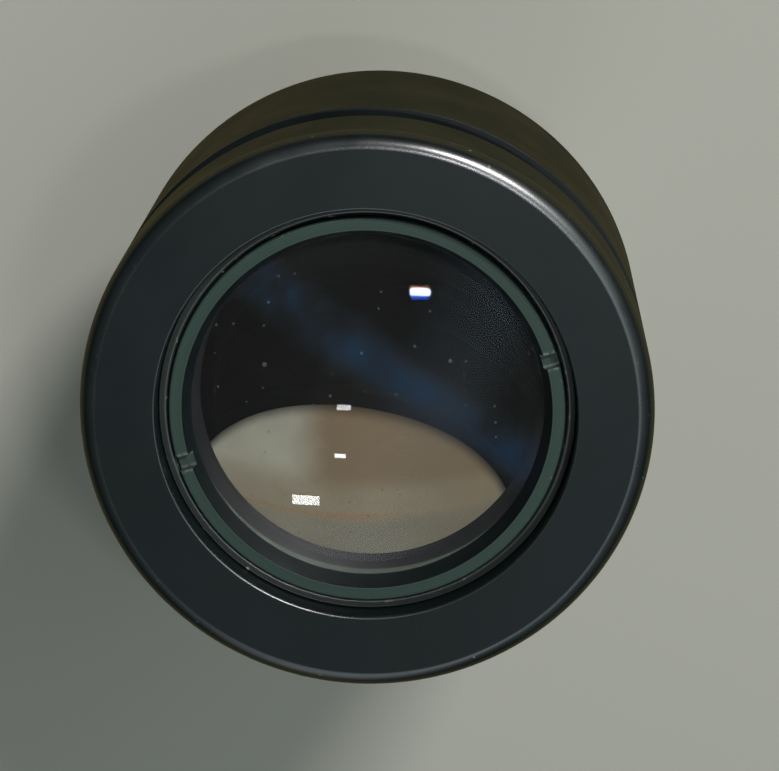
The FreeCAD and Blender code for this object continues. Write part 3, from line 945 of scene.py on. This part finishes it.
def make_spacer():
    """The ring between the lenses, ridged inside against stray light."""
    *_, mount = settings()
    at = surfaces()
    seat_inner = surface_height(at["back"], mount.spacer_throat) - SEAT_GAP
    seat_outer = surface_height(at["back"], SPACER_R) - SEAT_GAP
    pitch = (seat_inner - SPACER_END) / (SPACER_RIDGES + 1)
    corners = [
        (mount.spacer_throat, seat_inner, 0.02), (SPACER_R, seat_outer, 0.02),
        (SPACER_R, SPACER_END, 0.05), (mount.spacer_throat, SPACER_END, 0.05),
    ]
    for ridge in range(1, SPACER_RIDGES + 1):
        valley = SPACER_END + ridge * pitch
        for deep, rise in ((0.0, -pitch / 4), (mount.ridge, 0.0), (0.0, pitch / 4)):
            corners.append((mount.spacer_throat + deep, valley + rise, 0.02))
    ring = turned(
        "spacer", corners, inside=lambda r, h, out, up: (up < UPWARD) | (r < mount.spacer_throat + 0.02),
    )
    dress(ring, "lens_spacer", "blackened_brass", finish(slate_black), finish(matt_black))


def make_field_mount():
    """The cell of the field lens, and the ring that holds the lens in it."""
    _, _, sizes, mount = settings()
    at = surfaces()
    lip_foot = surface_height(at["field_front"], FIELD_LENS_R) + SEAT_GAP
    thread_top = surface_height(at["field_back"], FIELD_LENS_R) - sizes.bevel
    ring_bore, lens_bore = FIELD_RING_R + GAP, FIELD_LENS_R + GAP
    threads = [
        (FIELD_CELL_R, CELL_END + 0.1, FIELD_CELL_TOP - 0.2, FINE_PITCH),
        (ring_bore, FIELD_CELL_END + 0.3, thread_top - 0.2, FINE_PITCH),
    ]
    cell = turned("field_cell", [
        (mount.field_lip, FIELD_CELL_TOP), (FIELD_CELL_R, FIELD_CELL_TOP),
        (FIELD_CELL_R, FIELD_CELL_END), (ring_bore, FIELD_CELL_END), (ring_bore, thread_top),
        (lens_bore, thread_top), (lens_bore, lip_foot), (mount.field_lip, lip_foot),
    ], threads, inside=lambda r, h, out, up: (out < INWARD) | (up > UPWARD))
    slotted(cell, ring_bore - 0.5, FIELD_CELL_R + 0.5, FIELD_CELL_END - 0.5, FIELD_CELL_END + SLOT_DEPTH)
    dress(cell, "field_lens_cell", "blackened_brass", finish(blackened_brass), finish(matt_black))

    seat_inner = surface_height(at["field_back"], mount.field_lip) - SEAT_GAP
    seat_outer = surface_height(at["field_back"], FIELD_LENS_R) - SEAT_GAP
    flange = surface_height(at["field_back"], FIELD_LENS_R) - sizes.bevel - GAP
    ring = turned("field_ring", [
        (mount.field_lip, seat_inner, 0.02), (FIELD_LENS_R, seat_outer, 0.02),
        (FIELD_LENS_R, flange, 0.02), (FIELD_RING_R, flange, 0.05),
        (FIELD_RING_R, FIELD_RING_END), (mount.field_lip, FIELD_RING_END),
    ], [(FIELD_RING_R, FIELD_RING_END + 0.2, flange - 0.2, FINE_PITCH)])
    low, high = FIELD_RING_END - 0.5, FIELD_RING_END + SLOT_DEPTH
    slotted(ring, mount.field_lip - 0.5, FIELD_RING_R + 0.5, low, high)
    dress(ring, "field_lens_retainer", "blackened_brass", finish(blackened_brass))


# Stop and baffle

def make_stop():
    """The field stop, the sleeve that carries it and the ring behind it."""
    _, tube, _, _ = settings()
    bevel = STOP_TOP - STOP_END
    disc = turned("stop", [
        (tube.stop, STOP_END, 0.01), (STOP_R, STOP_END, 0.04), (STOP_R, STOP_TOP, 0.04),
        (tube.stop + bevel, STOP_TOP, 0.04),
    ])
    dress(disc, "field_stop", "blackened_brass", finish(matt_black))
    ledge, pocket = STOP_TOP + SEAT_GAP, STOP_R + GAP
    threads = [
        (CARRIER_R, CARRIER_END + 0.2, CARRIER_TOP - 0.2, FINE_PITCH),
        (pocket, CARRIER_END + 0.2, STOP_END, FINE_PITCH),
    ]
    sleeve = turned("carrier", [
        (tube.carrier_throat, CARRIER_TOP), (CARRIER_R, CARRIER_TOP), (CARRIER_R, CARRIER_END),
        (pocket, CARRIER_END), (pocket, ledge), (tube.carrier_throat, ledge),
    ], threads)
    slotted(sleeve, pocket - 0.5, CARRIER_R + 0.5, CARRIER_END - 0.5, CARRIER_END + SLOT_DEPTH)
    dress(sleeve, "stop_carrier", "blackened_brass", finish(matt_black))
    ring = turned("lock_ring", [
        (tube.lock_throat, LOCK_TOP), (LOCK_R, LOCK_TOP), (LOCK_R, LOCK_END),
        (tube.lock_throat, LOCK_END),
    ], [(LOCK_R, LOCK_END + 0.1, LOCK_TOP - 0.1, FINE_PITCH)])
    slotted(ring, tube.lock_throat - 0.5, LOCK_R + 0.5, LOCK_END - 0.5, LOCK_END + SLOT_DEPTH)
    dress(ring, "stop_lock_ring", "blackened_brass", finish(matt_black))


def make_baffle():
    """The blackened ring near the tube's rear end."""
    _, tube, _, _ = settings()
    ring = turned("baffle", [
        (tube.baffle, BAFFLE_END, 0.02), (BAFFLE_R, BAFFLE_END, 0.04),
        (BAFFLE_R, BAFFLE_TOP, 0.04), (tube.baffle_mouth, BAFFLE_TOP, 0.02),
    ])
    dress(ring, "rear_baffle", "blackened_brass", finish(matt_black))


# Screws

def screw_place(node):
    """Radius, angle about the optical axis, height, and inner and outer reach of a screw."""
    low, high = (np.array(corner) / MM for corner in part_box(node))
    centre = (low + high) / 2
    angle = math.atan2(centre[1], centre[0])
    points = np.array([vertex.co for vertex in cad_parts[node].data.vertices]) / MM
    along = points[:, 0] * math.cos(angle) + points[:, 1] * math.sin(angle)
    return (high[2] - low[2]) / 2, angle, centre[2], along.min(), along.max()


def pin(name, radius, inner, outer, angle, height, rounding=0.0):
    """A plain cylinder that points out from the optical axis."""
    corners = (ALMOST_ON_AXIS, inner, 0.0), (radius, inner, rounding), (radius, outer, rounding)
    points, normals, wear = rounded([*corners, (ALMOST_ON_AXIS, outer, 0.0)])
    order = np.argsort(points[:, 1], kind="stable")
    points, normals, wear = points[order], normals[order], wear[order]
    on_axis = points[:, 0] < 1e-2
    points, normals, wear = points[~on_axis], normals[~on_axis], wear[~on_axis]
    ends = np.array([(0.0, inner), (0.0, outer)])
    points = np.concatenate([ends[:1], points, ends[1:]])
    normals = np.concatenate([[(0.0, -1.0)], normals, [(0.0, 1.0)]])
    wear = np.concatenate([[0.0], wear, [0.0]])
    made = revolve(name, points, normals, wear, columns=48, closed=False)
    return aim(made, angle, height)


def make_screws():
    """The four headless screws, each with a driver slot across its outer end."""
    for node in ("cell_screw_1", "cell_screw_2", "cell_screw_3", "tube_lock_screw"):
        radius, angle, height, inner, outer = screw_place(node)
        made = pin("set_" + node, radius, inner, outer, angle, height, rounding=SCREW_ROUND)
        half = radius * DRIVER_SLOT_SHARE
        low = (outer - DRIVER_SLOT_DEPTH, -half, height - 2 * radius)
        high = (outer + 0.5, half, height + 2 * radius)
        cut(made, block("cutter", low, high, angle))
        dress(made, node, "black_steel", finish(black_steel))


# Stage

def floor_material():
    """A plain pale sheet, matt, and warmer in a mirror than by itself.

    Through glass it shows a painted glow instead: beige tones in the patch under the tube, with painted
    shade dimmer towards the tube's wall.
    """
    made, tree, output = blank("pale sheet, matt")
    place = in_mm(tree)
    across, up, _ = add(tree, "SeparateXYZ", {0: place}).outputs
    radius, _ = around(tree, place)
    seam = maths(tree, "MULTIPLY", ramp(tree, up, 5.95, 6.2), ramp(tree, up, 6.2, 6.5, 1.0, 0.0))
    # The colours from here on are a painted glow, seen only through glass, in place of the light under the
    # tube.
    colour = mixed(tree, ramp(tree, up, 5.7, 6.4), "716F62", "807866")
    left = ramp(tree, across, -1.2, 0.6, 1.0, 0.0)
    for share, tone in (
        (ramp(tree, up, 7.1, 8.0), "736550"),
        (maths(tree, "MULTIPLY", seam, ramp(tree, across, 3.4, 1.6, 0.0, 0.5)), "86623C"),
        (maths(tree, "MULTIPLY", left, ramp(tree, up, 6.9, 8.6)), "9C9D90"),
        (ramp(tree, across, -2.0, 1.0, 0.35, 0.0), "7E7E70"),
        (ramp(tree, across, 2.0, 6.0, 0.0, 0.35), "665E4C"),
        (ramp(tree, noise(tree, place, 2.5), 0.35, 0.7, 0.0, 0.25), "5F5748"),
        # Painted shade: the glow goes dark towards the tube's wall.
        (ramp(tree, radius, 9.9, 10.65, 0.0, 0.95), "0B0D10"),
    ):
        colour = mixed(tree, share, colour, tone)
    path = add(tree, "LightPath").outputs
    # Painted glow: an emission that only rays through glass see.
    painted_glow = add(tree, "Emission", Strength=1.3, Color=colour).outputs[0]
    warm = mixed(tree, path["Is Glossy Ray"], shade("floor"), "7C7350")
    lit = add(tree, "BsdfDiffuse", Color=warm).outputs[0]
    parts = {0: path["Is Transmission Ray"], 1: lit, 2: painted_glow}
    fill(tree, output, add(tree, "MixShader", parts).outputs[0])
    return made


def room(tree):
    """The room's light: pale and cool overhead, dark and warm at the height of the table.

    A wall at one side of it is brighter. What the lenses throw back of the room is nearly black.
    """
    x, y, z = add(tree, "SeparateXYZ", {0: add(tree, "TexCoord").outputs["Generated"]}).outputs
    colour = mixed(tree, ramp(tree, z, 0.1, 0.75), "42392D", "AEBABC")
    path = add(tree, "LightPath").outputs
    strength = maths(tree, "MULTIPLY_ADD", path["Is Glossy Ray"], -0.2, 0.62)
    thrown_back = maths(tree, "MULTIPLY_ADD", path["Is Transmission Ray"], -0.98, 1.0)
    side = maths(tree, "SUBTRACT", maths(tree, "MULTIPLY", y, 0.5), maths(tree, "MULTIPLY", x, 0.87))
    rise, fall = ramp(tree, side, 0.0, 0.32, 0.2, 4.6), ramp(tree, side, 0.3, 0.5, 1.0, 0.1)
    wall = maths(tree, "MULTIPLY", rise, fall)
    for factor in (thrown_back, wall):
        strength = maths(tree, "MULTIPLY", strength, factor)
    sky = add(tree, "Background", Color=colour, Strength=strength)
    add(tree, "OutputWorld", Surface=sky.outputs[0])


def camera_frame():
    """Camera's axes in the model's frame, and its place.

    In camera coordinates (right, down, forward) the optical axis runs back along
    (sin t sin s, -sin t cos s, cos t) for the tilt t and the swing s, the image's upward direction
    made square to it is the model's -Y, and their cross product is the model's -X.
    """
    view = bpy.context.scene.eyepiece_stage
    tilt, swing = view.tilt, view.swing
    back = Vector((math.sin(tilt) * math.sin(swing), -math.sin(tilt) * math.cos(swing), math.cos(tilt)))
    up = Vector((0.0, -1.0, 0.0))
    up = (up - back * up.dot(back)).normalized()
    side = up.cross(back)
    if side.x < 0:
        side = -side
    axes = Matrix((-side, -up, -back))
    face = Vector((
        (view.face_x - PICTURE_WIDTH / 2) * view.distance / view.focal,
        (view.face_y - PICTURE_HEIGHT / 2) * view.distance / view.focal,
        view.distance,
    ))
    place = (Vector((0.0, 0.0, TOP)) - axes @ face) * MM
    right, down, forward = (axes @ Vector(unit) for unit in ((1, 0, 0), (0, 1, 0), (0, 0, 1)))
    return right, -down, -forward, place


def add_camera():
    """The camera at the photograph's viewing angle."""
    right, up, backward, place = camera_frame()
    lens_data = bpy.data.cameras.new("camera")
    lens_data.sensor_width = 36.0
    lens_data.lens = bpy.context.scene.eyepiece_stage.focal / PICTURE_WIDTH * lens_data.sensor_width
    lens_data.clip_start = 0.005
    camera = bpy.data.objects.new("camera", lens_data)
    turn = Matrix((right, up, backward)).transposed().to_4x4()
    camera.matrix_world = Matrix.Translation(place) @ turn
    bpy.context.scene.collection.objects.link(camera)
    bpy.context.scene.camera = camera


def add_lamp(name, place, target, size, radiance, colour=(1.0, 1.0, 1.0)):
    """A rectangular lamp with its long side along X, in millimetres, of a given radiance."""
    data = bpy.data.lights.new(name, "AREA")
    data.shape = "RECTANGLE"
    data.size, data.size_y = size[0] * MM, size[1] * MM
    data.energy = radiance * math.pi * data.size * data.size_y
    data.color = colour
    lamp = bpy.data.objects.new(name, data)
    away = (Vector(place) - Vector(target)).normalized()
    along = Vector((1.0, 0.0, 0.0))
    along = (along - away * along.dot(away)).normalized()
    turn = Matrix((along, away.cross(along), away)).transposed().to_4x4()
    lamp.matrix_world = Matrix.Translation(Vector(place) * MM) @ turn
    bpy.context.scene.collection.objects.link(lamp)
    return lamp


def make_stage():
    """The floor, the camera, the small flash beside it, the window and the grey room."""
    floor = block("floor", (-FLOOR_REACH, -FLOOR_REACH, -FLOOR_DEPTH), (FLOOR_REACH, FLOOR_REACH, 0.0))
    floor.data.materials.append(floor_material())
    add_camera()
    face = (0.0, 0.0, TOP)
    add_lamp("flash", (FLASH_X, FLASH_Y, FLASH_Z), face, (13.0, 5.0), 150.0)
    amber, blue = ("amber", -3.3, 1.4, (1.0, 0.3, 0.04)), ("blue", 3.9, 2.4, (0.02, 0.16, 1.0))
    hidden = [add_lamp("window", WINDOW, face, (110.0, 60.0), 92.0, (1.0, 0.99, 0.97))]
    for name, beside, width, colour in (amber, blue):
        place = (FLASH_X, FLASH_Y + beside, FLASH_Z)
        hidden.append(add_lamp("flash_" + name, place, face, (12.0, width), 14.0, colour))
    for lamp in hidden:
        lamp.visible_transmission = False
    world = bpy.data.worlds.new("room")
    world.use_nodes = True
    world.node_tree.nodes.clear()
    room(world.node_tree)
    bpy.context.scene.world = world
    bpy.context.scene.view_settings.view_transform = "Standard"


# Operators

class EYEPIECE_OT_head(bpy.types.Operator):
    """Turn the bezel and the shell"""

    bl_idname = "eyepiece.head"
    bl_label = "Head"

    def execute(self, context):
        make_bezel()
        make_shell()
        return {"FINISHED"}


class EYEPIECE_OT_tube(bpy.types.Operator):
    """Turn the insertion tube"""

    bl_idname = "eyepiece.tube"
    bl_label = "Insertion tube"

    def execute(self, context):
        make_tube()
        return {"FINISHED"}


class EYEPIECE_OT_glasses(bpy.types.Operator):
    """Grind the eye lens and the field lens"""

    bl_idname = "eyepiece.glasses"
    bl_label = "Glasses"

    def execute(self, context):
        make_eye_lens()
        make_field_lens()
        return {"FINISHED"}


class EYEPIECE_OT_mounts(bpy.types.Operator):
    """Turn the rings and cells that hold the glasses"""

    bl_idname = "eyepiece.mounts"
    bl_label = "Lens mounts"

    def execute(self, context):
        make_retainer()
        make_cell()
        make_spacer()
        make_field_mount()
        return {"FINISHED"}


class EYEPIECE_OT_stops(bpy.types.Operator):
    """Turn the field stop, its carrier and the rear baffle"""

    bl_idname = "eyepiece.stops"
    bl_label = "Stops"

    def execute(self, context):
        make_stop()
        make_baffle()
        return {"FINISHED"}


class EYEPIECE_OT_screws(bpy.types.Operator):
    """Make the four headless screws"""

    bl_idname = "eyepiece.screws"
    bl_label = "Screws"

    def execute(self, context):
        make_screws()
        return {"FINISHED"}


class EYEPIECE_OT_stage(bpy.types.Operator):
    """Add the floor, the camera and the lamps"""

    bl_idname = "eyepiece.stage"
    bl_label = "Stage"

    def execute(self, context):
        make_stage()
        return {"FINISHED"}


GROUPS = {
    "eyepiece_head": HeadSizes,
    "eyepiece_tube": TubeSizes,
    "eyepiece_lens": LensSizes,
    "eyepiece_mount": MountSizes,
    "eyepiece_finish": FinishColours,
    "eyepiece_stage": StageSizes,
}

OPERATORS = (
    EYEPIECE_OT_head, EYEPIECE_OT_tube, EYEPIECE_OT_glasses, EYEPIECE_OT_mounts, EYEPIECE_OT_stops,
    EYEPIECE_OT_screws, EYEPIECE_OT_stage,
)


class EYEPIECE_PT_panel(bpy.types.Panel):
    """The eyepiece's pieces and their sizes."""

    bl_idname = "EYEPIECE_PT_panel"
    bl_label = "Eyepiece"
    bl_space_type = "VIEW_3D"
    bl_region_type = "UI"
    bl_category = "Eyepiece"

    def draw(self, context):
        for operator in OPERATORS:
            self.layout.operator(operator.bl_idname)
        for name, group in GROUPS.items():
            box = self.layout.box()
            for key in group.__annotations__:
                box.prop(getattr(context.scene, name), key)


def register():
    for name, group in GROUPS.items():
        bpy.utils.register_class(group)
        setattr(bpy.types.Scene, name, PointerProperty(type=group))
    for operator in (*OPERATORS, EYEPIECE_PT_panel):
        bpy.utils.register_class(operator)


def unregister():
    for operator in (EYEPIECE_PT_panel, *reversed(OPERATORS)):
        bpy.utils.unregister_class(operator)
    for name, group in GROUPS.items():
        delattr(bpy.types.Scene, name)
        bpy.utils.unregister_class(group)


def main():
    register()
    bpy.ops.eyepiece.head()
    bpy.ops.eyepiece.tube()
    bpy.ops.eyepiece.glasses()
    bpy.ops.eyepiece.mounts()
    bpy.ops.eyepiece.stops()
    bpy.ops.eyepiece.screws()
    bpy.ops.eyepiece.stage()
    bpy.context.view_layer.update()


if __name__ == "__main__":
    main()
